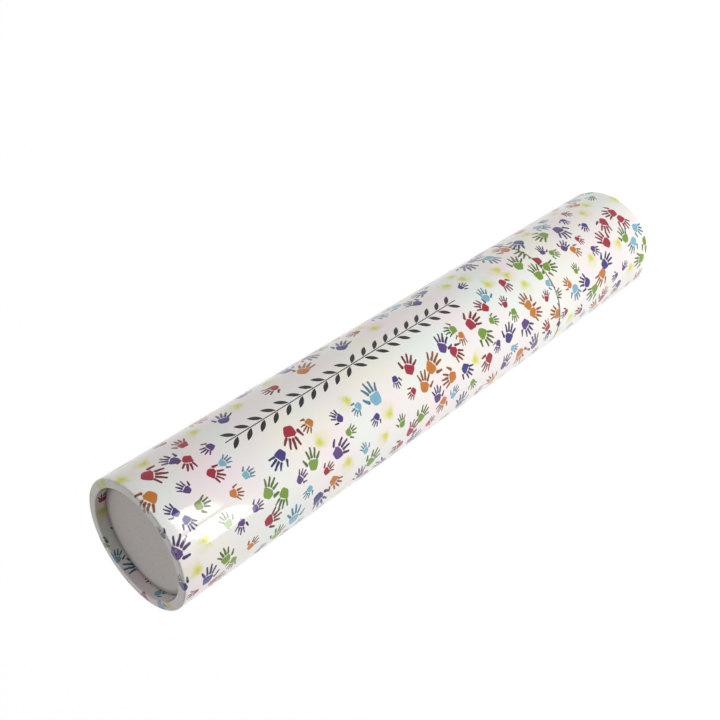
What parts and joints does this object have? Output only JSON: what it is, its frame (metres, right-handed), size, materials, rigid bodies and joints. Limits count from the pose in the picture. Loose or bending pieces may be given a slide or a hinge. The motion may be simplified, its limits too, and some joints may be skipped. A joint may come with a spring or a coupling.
{
  "type": "diploma tube",
  "caption": "Slim round paperboard tube in a glossy printed wrap, with recessed end discs and a pull-off cap on an inner neck, for keeping a rolled certificate.",
  "frame": {"origin": "centre of the cap's rim, on the surface that the tube stands on", "axes": "+Z along the tube's axis, from the cap's end up to the body's closed end; +Y towards the wraps' lapped seam at the back"},
  "size_m": [0.041, 0.0412, 0.23],
  "materials": {
    "printed_wrap": "pearl white art paper under a gloss film, printed with small handprints in bright colours",
    "wound_board": "uncoated grey board, wound in plies",
    "end_card": "white card, matt",
    "neck_paper": "white-lined wound board, matt"
  },
  "bodies": {
    "cap": {"cap_tube": "wound_board", "cap_wrap": "printed_wrap", "cap_disc": "end_card"},
    "body": {"body_tube": "wound_board", "body_wrap": "printed_wrap", "base_disc": "end_card", "neck_tube": "neck_paper"}
  },
  "joints": [
    {"name": "cap_pull", "type": "slide", "parent": "cap", "child": "body", "axis": [0, 0, 1], "range_m": [0, 0.08]}
  ]
}
